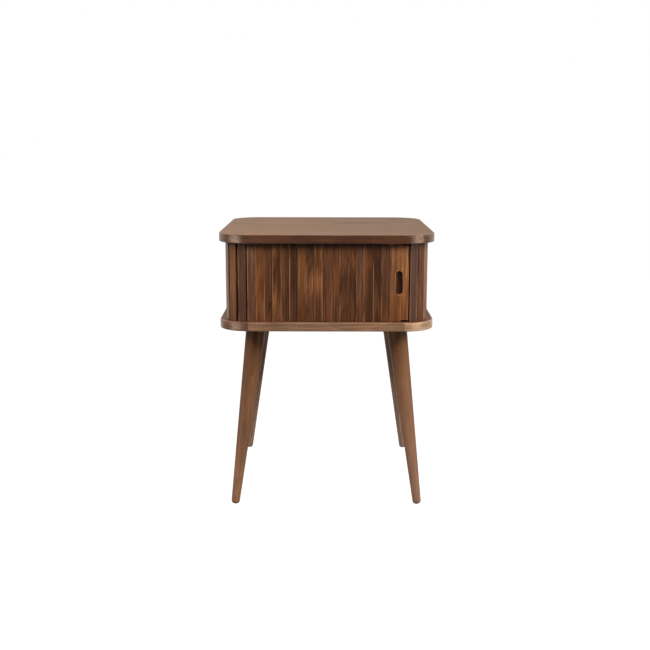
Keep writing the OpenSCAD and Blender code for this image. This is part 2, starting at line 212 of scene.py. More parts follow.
def walnut_group():
    """Walnut as it looks when sawn and oiled.

    Grain runs along x of the board it was sawn from and gives the fibres, pores and streaks.
    Heart is the way to the heart of the log, and gives the growth rings: x lifts them, so that
    they run out of the face in arches. Knot is the way to a knot, in knots' widths.
    """
    tree, given, put = group(
        "walnut",
        {"Grain": (0.0, 0.0, 0.0), "Heart": (0.0, 0.05, 0.02), "Knot": no_knot,
         "Tone": (0.15, 0.08, 0.05, 1.0), "Ring width": 0.003, "Rings": 0.5, "Streaks": 0.5,
         "Mottle": 0.7, "Fibre": 0.4, "Pores": 0.4},
        {"Color": "Color", "Roughness": "Float", "Height": "Float"})

    def cloud(along, across, detail=2.0, rough=0.55):
        placed = wire(tree, "ShaderNodeMapping", {"Vector": given["Grain"],
                                                  "Scale": (along, across, across)}).outputs[0]
        return wire(tree, "ShaderNodeTexNoise", {"Vector": placed, "Scale": 1.0, "Detail": detail,
                                                 "Roughness": rough}).outputs["Fac"]

    knot = wire(tree, "ShaderNodeVectorMath", {0: given["Knot"]},
                operation="LENGTH").outputs["Value"]
    swell = number(tree, "DIVIDE", 0.0022, number(tree, "ADD", knot, 0.8))
    heart = wire(tree, "ShaderNodeSeparateXYZ", {0: given["Heart"]})
    reach = number(tree, "SQRT", number(
        tree, "ADD", number(tree, "POWER", heart.outputs["Y"], 2.0),
        number(tree, "POWER", heart.outputs["Z"], 2.0)))
    wander = number(tree, "MULTIPLY_ADD", cloud(5.0, 14.0), 0.012,
                    number(tree, "MULTIPLY", cloud(22.0, 60.0), 0.0022))
    reach = number(tree, "ADD", number(tree, "SUBTRACT", reach, heart.outputs["X"]),
                   number(tree, "ADD", wander, swell))
    rings = number(tree, "DIVIDE", reach, given["Ring width"])
    uneven = wire(tree, "ShaderNodeTexNoise", {"W": rings, "Scale": 0.9, "Detail": 2.0,
                                               "Roughness": 0.6}, noise_dimensions="1D")
    wide = ramped(tree, uneven.outputs["Fac"], 0.32, 0.68)
    through = number(tree, "FRACT", number(tree, "MULTIPLY_ADD", wide, 0.35, rings))
    late = number(tree, "POWER", through, 5.0)
    early = number(tree, "POWER", number(tree, "SUBTRACT", 1.0, through), 7.0)

    streak = ramped(tree, cloud(1.8, 95.0, 3.0, 0.6), 0.33, 0.67)
    fine = ramped(tree, cloud(8.0, 300.0, 3.0), 0.38, 0.62)
    thread = ramped(tree, cloud(18.0, 560.0, 2.0, 0.6), 0.38, 0.64)
    mottle = cloud(11.0, 26.0, 2.0)
    flush = ramped(tree, cloud(2.6, 38.0, 2.0), 0.34, 0.66)
    fibre = cloud(26.0, 1300.0, 2.0, 0.7)
    pores = ramped(tree, cloud(75.0, 1900.0, 1.0), 0.63, 0.72)

    def swing(value, middle, amount):
        return number(tree, "MULTIPLY", number(tree, "SUBTRACT", value, middle), amount)

    # how many times lighter or darker than its tone, as a power of two
    figure = number(tree, "ADD", number(tree, "MULTIPLY_ADD", late, -1.0, swing(wide, 0.45, 1.2)),
                    number(tree, "MULTIPLY", early, 0.55))
    runs = number(tree, "ADD", swing(streak, 0.5, 0.6),
                  number(tree, "ADD", swing(fine, 0.5, 0.7), swing(thread, 0.5, 1.2)))
    shade = number(tree, "MULTIPLY", given["Rings"], figure)
    for share, what in (("Streaks", runs), ("Mottle", swing(mottle, 0.5, 1.0)),
                        ("Fibre", swing(fibre, 0.5, 2.2))):
        shade = number(tree, "ADD", shade, number(tree, "MULTIPLY", given[share], what))
    light = number(tree, "POWER", 2.0, shade)
    toned = wire(tree, "ShaderNodeVectorMath", {0: given["Tone"], "Scale": light},
                 operation="SCALE").outputs[0]
    # purple runs and orange runs lie beside each other
    hue = blended(tree, flush, (1.0, 0.985, 1.0, 1), (1.035, 1.0, 0.93, 1))
    hued = blended(tree, 1.0, toned, hue, "MULTIPLY")
    eye_of_knot = number(tree, "MULTIPLY", ramped(tree, knot, 0.55, 1.25, 1.0, 0.0), 0.85)
    holed = blended(tree, eye_of_knot, hued, (0.01, 0.006, 0.005, 1))
    pored = blended(tree, number(tree, "MULTIPLY", pores, given["Pores"]), holed,
                    (0.012, 0.007, 0.005, 1))
    tree.links.new(pored, put["Color"])
    tree.links.new(number(tree, "MULTIPLY_ADD", pores, 0.2, ramped(
        tree, number(tree, "ADD", fibre, mottle), 0.7, 1.3, 0.36, 0.5)), put["Roughness"])
    tree.links.new(number(tree, "MULTIPLY_ADD", pores, -0.6, number(
        tree, "MULTIPLY_ADD", fibre, 0.35, number(tree, "MULTIPLY", late, -0.15))), put["Height"])
    return tree


def arris_wear_and_light_group():
    """An arris, lightened in long patches partly by wear and partly as a painted highlight, with a
    few painted glints where Arris is above 0, and darkened with painted shade where it is below 0."""
    tree, given, put = group(
        "arris_wear_and_light", {"Grain": (0.0, 0.0, 0.0), "Arris": 0.0, "Rub": 0.3, "Glints": 0.5},
        {"Worn_and_lit": "Float", "Shaded": "Float"})
    along = wire(tree, "ShaderNodeMapping", {"Vector": given["Grain"],
                                             "Scale": (16, 70, 70)}).outputs[0]
    patch = wire(tree, "ShaderNodeTexNoise", {"Vector": along, "Scale": 1.0, "Detail": 2.0})
    glint = wire(tree, "ShaderNodeTexNoise", {"Vector": given["Grain"], "Scale": 420.0,
                                             "Detail": 1.0})
    worn_and_lit = number(tree, "MULTIPLY", ramped(tree, patch.outputs["Fac"], 0.34, 0.58), given["Rub"])
    glinted = number(tree, "MULTIPLY", ramped(tree, glint.outputs["Fac"], 0.66, 0.74), given["Glints"])
    both = number(tree, "MULTIPLY", number(tree, "ADD", worn_and_lit, glinted),
                  number(tree, "MAXIMUM", given["Arris"], 0.0))
    tree.links.new(number(tree, "MINIMUM", both, 1.0), put["Worn_and_lit"])
    tree.links.new(number(tree, "MULTIPLY", number(tree, "MINIMUM", given["Arris"], 0.0), -1.0),
                   put["Shaded"])
    return tree


walnut, arris_wear_and_light = walnut_group(), arris_wear_and_light_group()
arris_shade_colour, bare_wood_and_highlight, warm_shine = ((0.015, 0.007, 0.004, 1.0), colour(176, 124, 88),
                                    (1.0, 0.75, 0.58, 1.0))


def placed(tree, shared, feeds):
    """Puts a shared group into a material with its own values."""
    node = wire(tree, "ShaderNodeGroup", node_tree=shared)
    for key, value in feeds.items():
        if isinstance(value, bpy.types.NodeSocket):
            tree.links.new(value, node.inputs[key])
        else:
            node.inputs[key].default_value = value
    return node.outputs


def oiled_walnut(name, rub, shine, dull, ring_width, rings, streaks, fibre, pores, mottle=0.7):
    """Oiled walnut for pieces that carry their timber with them."""
    material, tree = fresh_material(name)

    def carried(what, kind="Vector"):
        return wire(tree, "ShaderNodeAttribute", attribute_name=what).outputs[kind]

    wood = placed(tree, walnut, {
        "Grain": carried("grain"), "Heart": carried("heart"), "Knot": carried("knot"),
        "Tone": carried("tone", "Color"), "Ring width": ring_width,
        "Rings": number(tree, "MULTIPLY", carried("tone", "Alpha"), rings),
        "Streaks": streaks, "Mottle": mottle, "Fibre": fibre, "Pores": pores})
    edge = placed(tree, arris_wear_and_light, {"Grain": carried("grain"), "Arris": carried("arris", "Fac"),
                                       "Rub": rub, "Glints": 0.4})
    # painted shade darkens the arrises below 0; wear and a painted highlight lighten those above 0
    arris_shaded = blended(tree, number(tree, "MULTIPLY", edge["Shaded"], 0.7), wood["Color"], arris_shade_colour)
    worn_and_lit = blended(tree, edge["Worn_and_lit"], arris_shaded, bare_wood_and_highlight)
    bump = wire(tree, "ShaderNodeBump", {"Height": wood["Height"], "Strength": 0.6,
                                         "Distance": 0.00012})
    skin = wire(tree, "ShaderNodeBsdfPrincipled",
                {"Base Color": worn_and_lit, "Roughness": number(tree, "ADD", wood["Roughness"], dull),
                 "Specular IOR Level": shine, "Specular Tint": warm_shine,
                 "Normal": bump.outputs[0]})
    wire(tree, "ShaderNodeOutputMaterial", {"Surface": skin.outputs[0]})
    return material


def workpiece():
    """A new shape whose surface carries its timber's grain, heart, knot and tone. The tone's alpha
    says how strongly the rings show."""
    shape = bmesh.new()
    for layer in ("grain", "heart", "knot"):
        shape.loops.layers.float_vector.new(layer)
    shape.loops.layers.float_color.new("tone")
    shape.verts.layers.float.new("arris")
    return shape


def sawn(shape, faces, read):
    """Lays timber on faces. read turns a loop into (grain, heart, knot, tone)."""
    vectors = [shape.loops.layers.float_vector[k] for k in ("grain", "heart", "knot")]
    paint = shape.loops.layers.float_color["tone"]
    for f in faces:
        for loop in f.loops:
            found = read(f, loop)
            for layer, value in zip(vectors, found):
                loop[layer] = value
            loop[paint] = found[3]


def finished(shape, name, material, slot, body, *nodes, smooth=40):
    """Turns a worked shape into a piece of the table that stands for its CAD nodes."""
    bmesh.ops.recalc_face_normals(shape, faces=shape.faces)
    mesh = bpy.data.meshes.new(name)
    shape.to_mesh(mesh)
    shape.free()
    mesh.polygons.foreach_set("use_smooth", [True] * len(mesh.polygons))
    mesh.set_sharp_from_angle(angle=math.radians(smooth))
    mesh.materials.append(material)
    piece = bpy.data.objects.new(name, mesh)
    bpy.context.collection.objects.link(piece)
    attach(piece, body)
    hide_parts(*nodes)
    return piece


def outline(front, rear, half, radius, steps=14):
    """A rounded rectangle as wide as half each way, anticlockwise from the front right corner."""
    points = []
    for cx, cy, start in ((half - radius, front + radius, -90), (half - radius, rear - radius, 0),
                          (radius - half, rear - radius, 90), (radius - half, front + radius, 180)):
        for k in range(steps + 1):
            a = math.radians(start + 90 * k / steps)
            points.append((cx + radius * math.cos(a), cy + radius * math.sin(a)))
    return points


def walls(shape, last, loops):
    """Carries on from one ring of vertices through more outlines, and returns the last ring."""
    count = len(last)
    for points, z, worn_and_lit in loops:
        ring = [shape.verts.new((x, y, z)) for x, y in points]
        for v in ring:
            v[shape.verts.layers.float["arris"]] = worn_and_lit
        for k in range(count):
            n = (k + 1) % count
            shape.faces.new((last[k], last[n], ring[n], ring[k]))
        last = ring
    return last


def board(name, node, face_tone, strips, chance, heart):
    """A board. strips are its edge's tones: the front, right, rear and left ones, then the corners
    at the front right, rear right, front left and rear left."""
    low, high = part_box(node)
    low, high = low.z, high.z
    shape = workpiece()

    def round_at(inset, z, worn_and_lit):
        return outline(inset - board_half, board_half - inset, board_half - inset,
                       board_radius - inset), z, worn_and_lit

    eased = [(arris * (1 - math.sin(a)), arris * (1 - math.cos(a))) for a in quarter_turn]
    rim = [round_at(arris + face_band, low, 0.0)]
    rim += [round_at(inset, low + rise, 1.0) for inset, rise in eased]
    rim += [round_at(0.0, low + arris + edge_band, 0.0),
            round_at(0.0, high - arris - edge_band, 0.0)]
    rim += [round_at(inset, high - rise, 1.0) for inset, rise in reversed(eased)]
    rim += [round_at(arris + face_band, high, 0.0)]
    points, z, worn_and_lit = rim[0]
    first = [shape.verts.new((x, y, z)) for x, y in points]
    last = walls(shape, first, rim[1:])
    strip_faces = set(shape.faces)

    # the groove for the tongues, in the face that looks at the slats
    plain, cut, level, deep = ((first, last, high, high - groove_depth) if node == "bottom_board"
                               else (last, first, low, low + groove_depth))

    def groove(inset, z):
        return outline(inset - groove_side, groove_rear - inset, groove_side - inset,
                       groove_radius - inset), z, 0.0

    inner = walls(shape, cut, [groove(0, level), groove(groove_draft, deep),
                               groove(groove_width - groove_draft, deep),
                               groove(groove_width, level)])
    shape.faces.new(inner)
    shape.faces.new(plain)
    straight = board_half - board_radius
    draw = random.Random(chance)
    shifts = [(draw.uniform(0, 30), draw.uniform(0, 3), draw.uniform(0, 3)) for k in range(8)]

    def read(f, loop):
        x, y, z = loop.vert.co
        if f not in strip_faces:
            paler = 1 - 0.14 * x / board_half
            return ((x + shifts[0][0], y + shifts[0][1], z),
                    (heart[0] * x, y - heart[1], heart[2]), no_knot,
                    [v * paler for v in face_tone[:3]] + [1.0])
        middle = f.calc_center_median()
        right, ahead = abs(middle.x) > straight, abs(middle.y) > straight
        if right and ahead:
            which = 4 + (middle.x < 0) * 2 + (middle.y > 0)
            along = board_radius * math.atan2(abs(x) - straight, abs(y) - straight)
        else:
            which = (3 if x < 0 else 1) if right else (0 if y < 0 else 2)
            along = y if right else x
        shift = shifts[which]
        return ((along + shift[0], z + shift[1], shift[2]),
                (strip_climb * along, z - low - strip_heart[0], strip_heart[1] + shift[2] * 0.01),
                no_knot, strips[which])

    sawn(shape, shape.faces, read)
    for f in strip_faces:
        f.material_index = 1
    made = finished(shape, name, board_walnut, "walnut_boards", "cabinet", node, smooth=50)
    made.data.materials.append(edge_walnut)


board_walnut = oiled_walnut("walnut_board", rub=0.08, shine=0.3, dull=0.16, ring_width=0.0085,
                            rings=0.6, streaks=0.38, fibre=0.3, pores=0.3)
edge_walnut = oiled_walnut("walnut_edge", rub=0.12, shine=1.0, dull=-0.1, ring_width=0.004,
                           rings=0.25, streaks=0.5, fibre=0.3, pores=0.3)
# the bent strip at the front right corner is lighter, partly its own timber and partly a painted
# sheen
tan, dun, rose, sand_and_sheen = (colour(143, 106, 78), colour(122, 90, 66), colour(114, 79, 58),
                        colour(174, 136, 104))
board("bottom_board_veneered", "bottom_board", colour(114, 80, 56),
      [tan, dun, tan, dun, sand_and_sheen, dun, rose, dun], 5, (0.04, -0.03, 0.05))
# the bent strips at the front corners are lighter, partly their own timber and partly a painted
# sheen
dark, deep = colour(84, 49, 30), colour(94, 60, 42)
board("top_board_veneered", "top_board", colour(120, 86, 58),
      [dark, dark, dark, dark, deep, dark, deep, dark], 8, (0.05, 0.06, 0.06))


# ---------------------------------------------------------------------------------------------
# The lining: three 12 mm walnut-veneered panels make the compartment's walls and carry the top.
# A thinner panel closes the back outside the door's run. All have lightly eased arrises.
panel_climb, panel_heart_z, panel_heart_behind = 0.05, 0.47, 0.045


def panel(node, along, tone, chance, ease=0.0008):
    low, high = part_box(node)
    shape = workpiece()
    bmesh.ops.create_cube(shape, size=1.0)
    for v in shape.verts:
        v.co = [low[k] if v.co[k] < 0 else high[k] for k in range(3)]
    bmesh.ops.bevel(shape, geom=list(shape.edges), offset=ease, segments=3, profile=0.5,
                    affect="EDGES", clamp_overlap=True)
    draw = random.Random(chance)
    a, b, c = draw.uniform(0, 30), draw.uniform(0, 3), draw.uniform(0, 3)
    thick = 1 - along

    def read(f, loop):
        p = loop.vert.co
        return ((p[along] + a, p.z + b, p[thick] + c),
                (panel_climb * p[along], p.z - panel_heart_z,
                 panel_heart_behind + p[thick] - low[thick]), no_knot, tone)

    sawn(shape, shape.faces, read)
    finished(shape, node + "_veneered", panel_walnut, "walnut_panels", "cabinet", node)


panel_walnut = oiled_walnut("walnut_panel", rub=0.2, shine=0.45, dull=0.05, ring_width=0.005,
                            rings=0.22, streaks=0.35, fibre=0.3, pores=0.35)
panel("left_lining", 1, colour(104, 70, 48), 21)
panel("right_lining", 1, colour(102, 68, 46), 22)
panel("rear_lining", 0, colour(106, 71, 49), 23)
panel("back_panel", 0, colour(108, 73, 52), 24, ease=0.0006)


# ---------------------------------------------------------------------------------------------
# Dowels and screws. Beech dowels hold the top to the lining; zinc-plated countersunk screws come
# up through the bottom board.
def dress(material, *names):
    """Gives CAD nodes their finish."""
    for node in names:
        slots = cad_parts[node].data.materials
        slots.clear()
        slots.append(material)


def marks_group():
    """Fine rolled or turned marks on metal or lacquer, and soft blotches under them."""
    tree, given, put = group("surface_marks", {"Fineness": 900.0}, {"Marks": "Float",
                                                                    "Blotches": "Float"})
    spot = wire(tree, "ShaderNodeTexCoord").outputs["Object"]
    fine = wire(tree, "ShaderNodeTexNoise", {"Vector": spot, "Scale": given["Fineness"],
                                             "Detail": 3.0})
    soft = wire(tree, "ShaderNodeTexNoise", {"Vector": spot, "Scale": 120.0, "Detail": 2.0})
    tree.links.new(fine.outputs["Fac"], put["Marks"])
    tree.links.new(soft.outputs["Fac"], put["Blotches"])
    return tree


surface_marks = marks_group()


def marked(name, dark, light, metallic, rough, fineness, relief):
    material, tree = fresh_material(name)
    marks = placed(tree, surface_marks, {"Fineness": fineness})
    tint = blended(tree, marks["Blotches"], dark, light)
    bump = wire(tree, "ShaderNodeBump", {"Height": marks["Marks"], "Strength": 0.5,
                                         "Distance": relief})
    skin = wire(tree, "ShaderNodeBsdfPrincipled",
                {"Base Color": tint, "Metallic": metallic, "Normal": bump.outputs[0],
                 "Roughness": ramped(tree, marks["Marks"], 0.3, 0.7, *rough)})
    wire(tree, "ShaderNodeOutputMaterial", {"Surface": skin.outputs[0]})
    return material


def beech():
    """Plain beech: pale, with short dark flecks along the dowel."""
    material, tree = fresh_material("beech_dowel")
    spot = wire(tree, "ShaderNodeTexCoord").outputs["Object"]
    flecked = wire(tree, "ShaderNodeMapping", {"Vector": spot, "Scale": (900, 900, 90)}).outputs[0]
    fleck = wire(tree, "ShaderNodeTexNoise", {"Vector": flecked, "Scale": 1.0,
                                              "Detail": 2.0}).outputs["Fac"]
    bump = wire(tree, "ShaderNodeBump", {"Height": fleck, "Distance": 0.00005})
    skin = wire(tree, "ShaderNodeBsdfPrincipled",
                {"Base Color": blended(tree, ramped(tree, fleck, 0.5, 0.7), colour(206, 170, 126),
                                       colour(158, 116, 78)),
                 "Roughness": ramped(tree, fleck, 0.3, 0.7, 0.5, 0.65), "Normal": bump.outputs[0]})
    wire(tree, "ShaderNodeOutputMaterial", {"Surface": skin.outputs[0]})
    return material


zinc = marked("zinc_plate", colour(150, 150, 146), colour(196, 197, 194), 1.0, (0.28, 0.42), 1400.0,
              0.00003)
dress(beech(), "top_dowels")
dress(zinc, "carcass_screws")


# ---------------------------------------------------------------------------------------------
# The slats. Each is a strip of solid walnut 17 mm wide and 10 mm thick with softened arrises and a
# tongue at both ends. They are sawn from many different boards, so no two neighbours match, and
# are glued side by side to a dark canvas. Those on the right are fixed; those on the left are the
# part of the door that is put away while it is shut.
slat_pitch, slat_width, slat_thick, slat_round = 0.0173, 0.017, 0.010, 0.0008
shoulder_gap, fixed_gap, fixed_bevel = 0.0008, 0.00075, 0.0017
slat_low, slat_high = board_low[1].z + shoulder_gap, board_high[0].z - shoulder_gap
# painted shade: how far it reaches down from a slat's head and how deep in a gap it starts,
# # and what share of the light it leaves in either place
head_shade_reach, gap_shade_depth = 0.018, 0.003
head_shade_light, gap_shade_light = 0.26, 0.4
tongue_back, tongue_thick, tongue_wide, tongue_long = 0.004, 0.005, 0.011, 0.006
side, corner = 0.2115, 0.0475
turn_x, turn_front, turn_rear = side - corner, corner - side, 0.2048 - corner
canvas_radius = corner - slat_thick
corner_run, side_run = canvas_radius * math.pi / 2, turn_rear - turn_front

# the boards that the slats are sawn from
timber = {
    "umber": colour(76, 43, 24),
    "cocoa": colour(89, 52, 30),
    "brown": colour(102, 61, 36),
    "russet": colour(114, 66, 35),
    "honey": colour(130, 82, 47),
    "plum": colour(88, 52, 38),
    "mauve": colour(110, 71, 49),
    "tan": colour(138, 100, 72),
    "amber": colour(152, 102, 64),
}
# how the growth rings lie in a slat: how fast they climb from half the box's height, how far left
# of it and under it the heart of the log was, how narrow they are, and how strongly they show
half_height = 0.48
cuts = {
    "arch": (-0.035, 0.000, 0.014, 0.8, 1.1),
    "cup": (0.035, 0.000, 0.014, 0.8, 0.7),
    "rising": (0.15, 0.010, 0.009, 0.5, 1.25),
    "falling": (-0.11, 0.010, 0.009, 0.5, 1.25),
    "broad": (0.05, 0.024, 0.012, 0.7, 0.5),
    "straight": (0.004, 0.030, 0.010, 1.0, 0.9),
    "quiet": (0.003, 0.050, 0.010, 0.7, 0.4),
}
sawmill = random.Random(17)


def stock(*tones, cut="straight", light=1.0, knots=(), lean=0.0, arris_paint=(1.2, -0.5)):
    """A slat's timber: its tones from foot to head, its cut, how light it is, its knots at (x, z,
    size), how much lighter it gets from left to right, and how its left and right arrises are
    painted: lighter above 0 with wear and a painted highlight, darker below 0 with painted shade."""
    grain = (sawmill.uniform(0, 30), sawmill.uniform(0, 9), sawmill.uniform(0, 9))
    start = sawmill.uniform(-0.002, 0.002), sawmill.uniform(0, 0.02)
    tones = [[v * light for v in timber[name][:3]] for name in tones]
    return grain, cuts[cut], start, tones, knots, lean, arris_paint


def from_the_pile():
    """Any slat as it comes."""
    names = list(timber)[:-1]
    foot = sawmill.choice(names)
    head = sawmill.choice((foot, foot, sawmill.choice(names)))
    return stock(foot, head, cut=sawmill.choice(list(cuts)), light=sawmill.uniform(0.85, 1.2),
                 lean=sawmill.uniform(-0.25, 0.25))


def outside_head_shade(z):
    """0 at a slat's head, under the top board, rising to 1 where its painted shade ends."""
    return min(max((slat_high - z) / head_shade_reach, 0.0), 1.0)


def lay(timber_used, x, y, z):
    """What a point of a slat shows: x across it, y behind its face, z up."""
    grain, (climb, left, under, narrow, figure), (aside, lift), tones, knots, lean, _ = timber_used
    place = (z - slat_low) / (slat_high - slat_low) * (len(tones) - 1)
    k = min(max(int(place), 0), len(tones) - 2)
    share = min(max(place - k, 0.0), 1.0)
    paler = 1 + lean * min(max(x / slat_width * 2, -1.0), 1.0)
    # painted shade darkens the slat's head under the top board
    paler *= head_shade_light + (1 - head_shade_light) * outside_head_shade(z)
    tone = [(a + (b - a) * share) * paler for a, b in zip(tones[k], tones[k + 1])]
    seen = no_knot
    if knots:
        knot = min(knots, key=lambda one: abs(z - one[1]))
        seen = ((z - knot[1]) / knot[2] * 0.45, (x - knot[0]) / knot[2], y / knot[2] * 0.5)
    return ((z + grain[0], x + grain[1], y + grain[2]),
            ((climb * (z - half_height) + lift) * narrow, (x + left + aside) * narrow,
             (y + under) * narrow), seen, tone + [figure])


def slat_profile():
    """From the face round an arris to the back: inset from the side, depth, and how near it is to
    the arris."""
    # wear and painted highlight fade out over the face and down the side
    rows = [(slat_round + 0.0016, 0.0, 0.0), (slat_round + 0.0002, 0.0, 0.4)]
    for k in range(4):
        a = math.radians(30 * k)
        rows.append((slat_round * (1 - math.sin(a)), slat_round * (1 - math.cos(a)), 1.0))
    return rows + [(0.0, slat_round + 0.0008, 0.2), (0.0, slat_thick, 0.0)]


def add_slat(shape, place, used, bevel=0.0):
    """Adds one slat. place turns (across, depth, height) into a point of the table. Its left and
    right arrises take their own amounts: lighter with wear and a painted highlight, or darker with
    painted shade, fading out under the painted shade at its head."""
    half, edge, local = slat_width / 2, shape.verts.layers.float["arris"], {}
    left_arris_paint, right_arris_paint = used[6]
    side_rows = [(half - inset - (bevel if depth == slat_thick else 0.0), depth, worn_and_lit)
                 for inset, depth, worn_and_lit in slat_profile()]

    def strip(points, heights):
        rows, count = [], len(points)
        for z in heights:
            rows.append([shape.verts.new(place(x, y, z)) for x, y, worn_and_lit in points])
            for v, (x, y, worn_and_lit) in zip(rows[-1], points):
                v[edge] = worn_and_lit * (left_arris_paint if x < 0 else right_arris_paint) * outside_head_shade(z)
                local[v] = (x, y, z)
        return [shape.faces.new((a[k], a[(k + 1) % count], b[(k + 1) % count], b[k]))
                for a, b in zip(rows, rows[1:]) for k in range(count)] + [
            shape.faces.new(rows[0]), shape.faces.new(rows[-1])]

    steps = 12
    heights = [slat_low + (slat_high - head_shade_reach - slat_low) * k / steps for k in range(steps + 1)]
    faces = strip([(-x, y, w) for x, y, w in reversed(side_rows)] + side_rows,
                  heights + [slat_high - head_shade_reach / 2, slat_high])
    wide = tongue_wide / 2
    tongue = [(wide * sx, tongue_back + tongue_thick * sy, 0.0)
              for sx, sy in ((-1, 1), (-1, 0), (1, 0), (1, 1))]
    faces += strip(tongue, (slat_low - tongue_long, slat_low))
    faces += strip(tongue, (slat_high, slat_high + tongue_long))

    def read(f, loop):
        x, y, z = local[loop.vert]
        grain, heart, knot, tone = lay(used, x, y, z)
        # painted shade darkens the sides, down in the gap between two slats
        depths = [local[v][1] for v in f.verts]
        if min(depths) > slat_round and max(depths) > gap_shade_depth:
            tone = [v * gap_shade_light for v in tone[:3]] + tone[3:]
        return grain, heart, knot, tone

    sawn(shape, faces, read)


def facing(centre_x, centre_y, angle):
    """A slat's place, turned by angle about the middle of a corner."""
    c, s = math.cos(angle), math.sin(angle)

    def place(x, depth, z):
        y = depth - corner
        return centre_x + x * c - y * s, centre_y + x * s + y * c, z
    return place


def on_canvas(run):
    """A door slat's place, run metres along the canvas past the start of the front left corner."""
    if run <= 0:
        return facing(-turn_x - run, turn_front, 0)
    if run <= corner_run:
        return facing(-turn_x, turn_front, -run / canvas_radius)
    if run <= corner_run + side_run:
        return facing(-turn_x, turn_front + run - corner_run, -math.pi / 2)
    return facing(-turn_x, turn_rear, -math.pi / 2 - (run - corner_run - side_run) / canvas_radius)


def on_the_right(run):
    """A fixed slat's place, run metres along the outer face past the front right corner's start."""
    outer = corner * math.pi / 2
    if run <= outer:
        return facing(turn_x, turn_front, run / corner)
    if run <= outer + side_run:
        return facing(turn_x, turn_front + run - outer, math.pi / 2)
    return facing(turn_x, turn_rear, math.pi / 2 + (run - outer - side_run) / corner)


def slat_row(node, places, timbers, bevel=0.0):
    shape = workpiece()
    for place, used in zip(places, timbers):
        add_slat(shape, place, used, bevel)
    finished(shape, node + "_walnut", slat_walnut, "walnut_slats", "cabinet", node)


slat_walnut = oiled_walnut("walnut_slat", rub=1.0, shine=0.35, dull=0.0, ring_width=0.0026,
                           rings=0.42, streaks=0.7, fibre=0.5, pores=0.45)
put_away = [on_canvas((k + 0.5) * slat_pitch) for k in range(25)]
# the first slat along the left side and along the right one, and the first past either
left_starts, right_starts, sides_end = 3, 4, 22
slat_row("left_front_corner_slats", put_away[:left_starts],
         [stock("plum", "plum", light=0.9), stock("brown", "honey", "honey", light=1.18),
          stock("tan", "tan")])
for node, places in (("left_side_slats", put_away[left_starts:sides_end]),
                     ("left_rear_corner_slats", put_away[sides_end:])):
    slat_row(node, places, [from_the_pile() for place in places])

front_count = 17
lead_left, lead_right, door_gap = -turn_x + front_count * slat_pitch, 0.1690, 0.0034
first = (math.asin((lead_right + door_gap - turn_x) / corner)
         + math.atan(slat_width / 2 / corner)) * corner
fixed = [on_the_right(first + k * (slat_width + fixed_gap)) for k in range(26)]
slat_row("right_front_corner_slats", fixed[:right_starts],
         [stock("plum", "plum", light=0.62, arris_paint=(0.6, 1.0)),
          stock("brown", "brown", light=1.02, arris_paint=(-1.4, -0.5)),
          stock("honey", "tan", light=0.9), stock("mauve", "tan", light=0.9)], fixed_bevel)
for node, places in (("right_side_slats", fixed[right_starts:sides_end]),
                     ("right_rear_corner_slats", fixed[sides_end:])):
    slat_row(node, places, [from_the_pile() for place in places], fixed_bevel)


# ---------------------------------------------------------------------------------------------
# The canvas: a dark cotton duck, plain woven, glued to the back of the slats so that they turn
# together.
def duck():
    material, tree = fresh_material("cotton_duck")
    spot = wire(tree, "ShaderNodeTexCoord").outputs["Object"]
    parts = wire(tree, "ShaderNodeSeparateXYZ", {0: spot})

    def thread(value, fineness=5200.0):
        return number(tree, "SINE", number(tree, "MULTIPLY", value, fineness))

    across = number(tree, "ADD", parts.outputs["X"], parts.outputs["Y"])
    weave = number(tree, "MULTIPLY", thread(across), thread(parts.outputs["Z"]))
    slub = wire(tree, "ShaderNodeTexNoise", {"Vector": spot, "Scale": 260.0,
                                             "Detail": 3.0}).outputs["Fac"]
    lift = ramped(tree, weave, -1.0, 1.0)
    tint = blended(tree, slub, colour(42, 34, 30), colour(74, 62, 54))
    bump = wire(tree, "ShaderNodeBump", {"Height": lift, "Strength": 0.7, "Distance": 0.0002})
    skin = wire(tree, "ShaderNodeBsdfPrincipled",
                {"Base Color": blended(tree, lift, (0.012, 0.01, 0.009, 1), tint),
                 "Roughness": ramped(tree, slub, 0.3, 0.7, 0.9, 1.0),
                 "Specular IOR Level": 0.15, "Normal": bump.outputs[0]})
    wire(tree, "ShaderNodeOutputMaterial", {"Surface": skin.outputs[0]})
    return material


canvas = duck()
dress(canvas, "left_canvas", "right_canvas")


def draws_in(piece):
    """Gives the piece a mesh of its own."""
    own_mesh(piece)


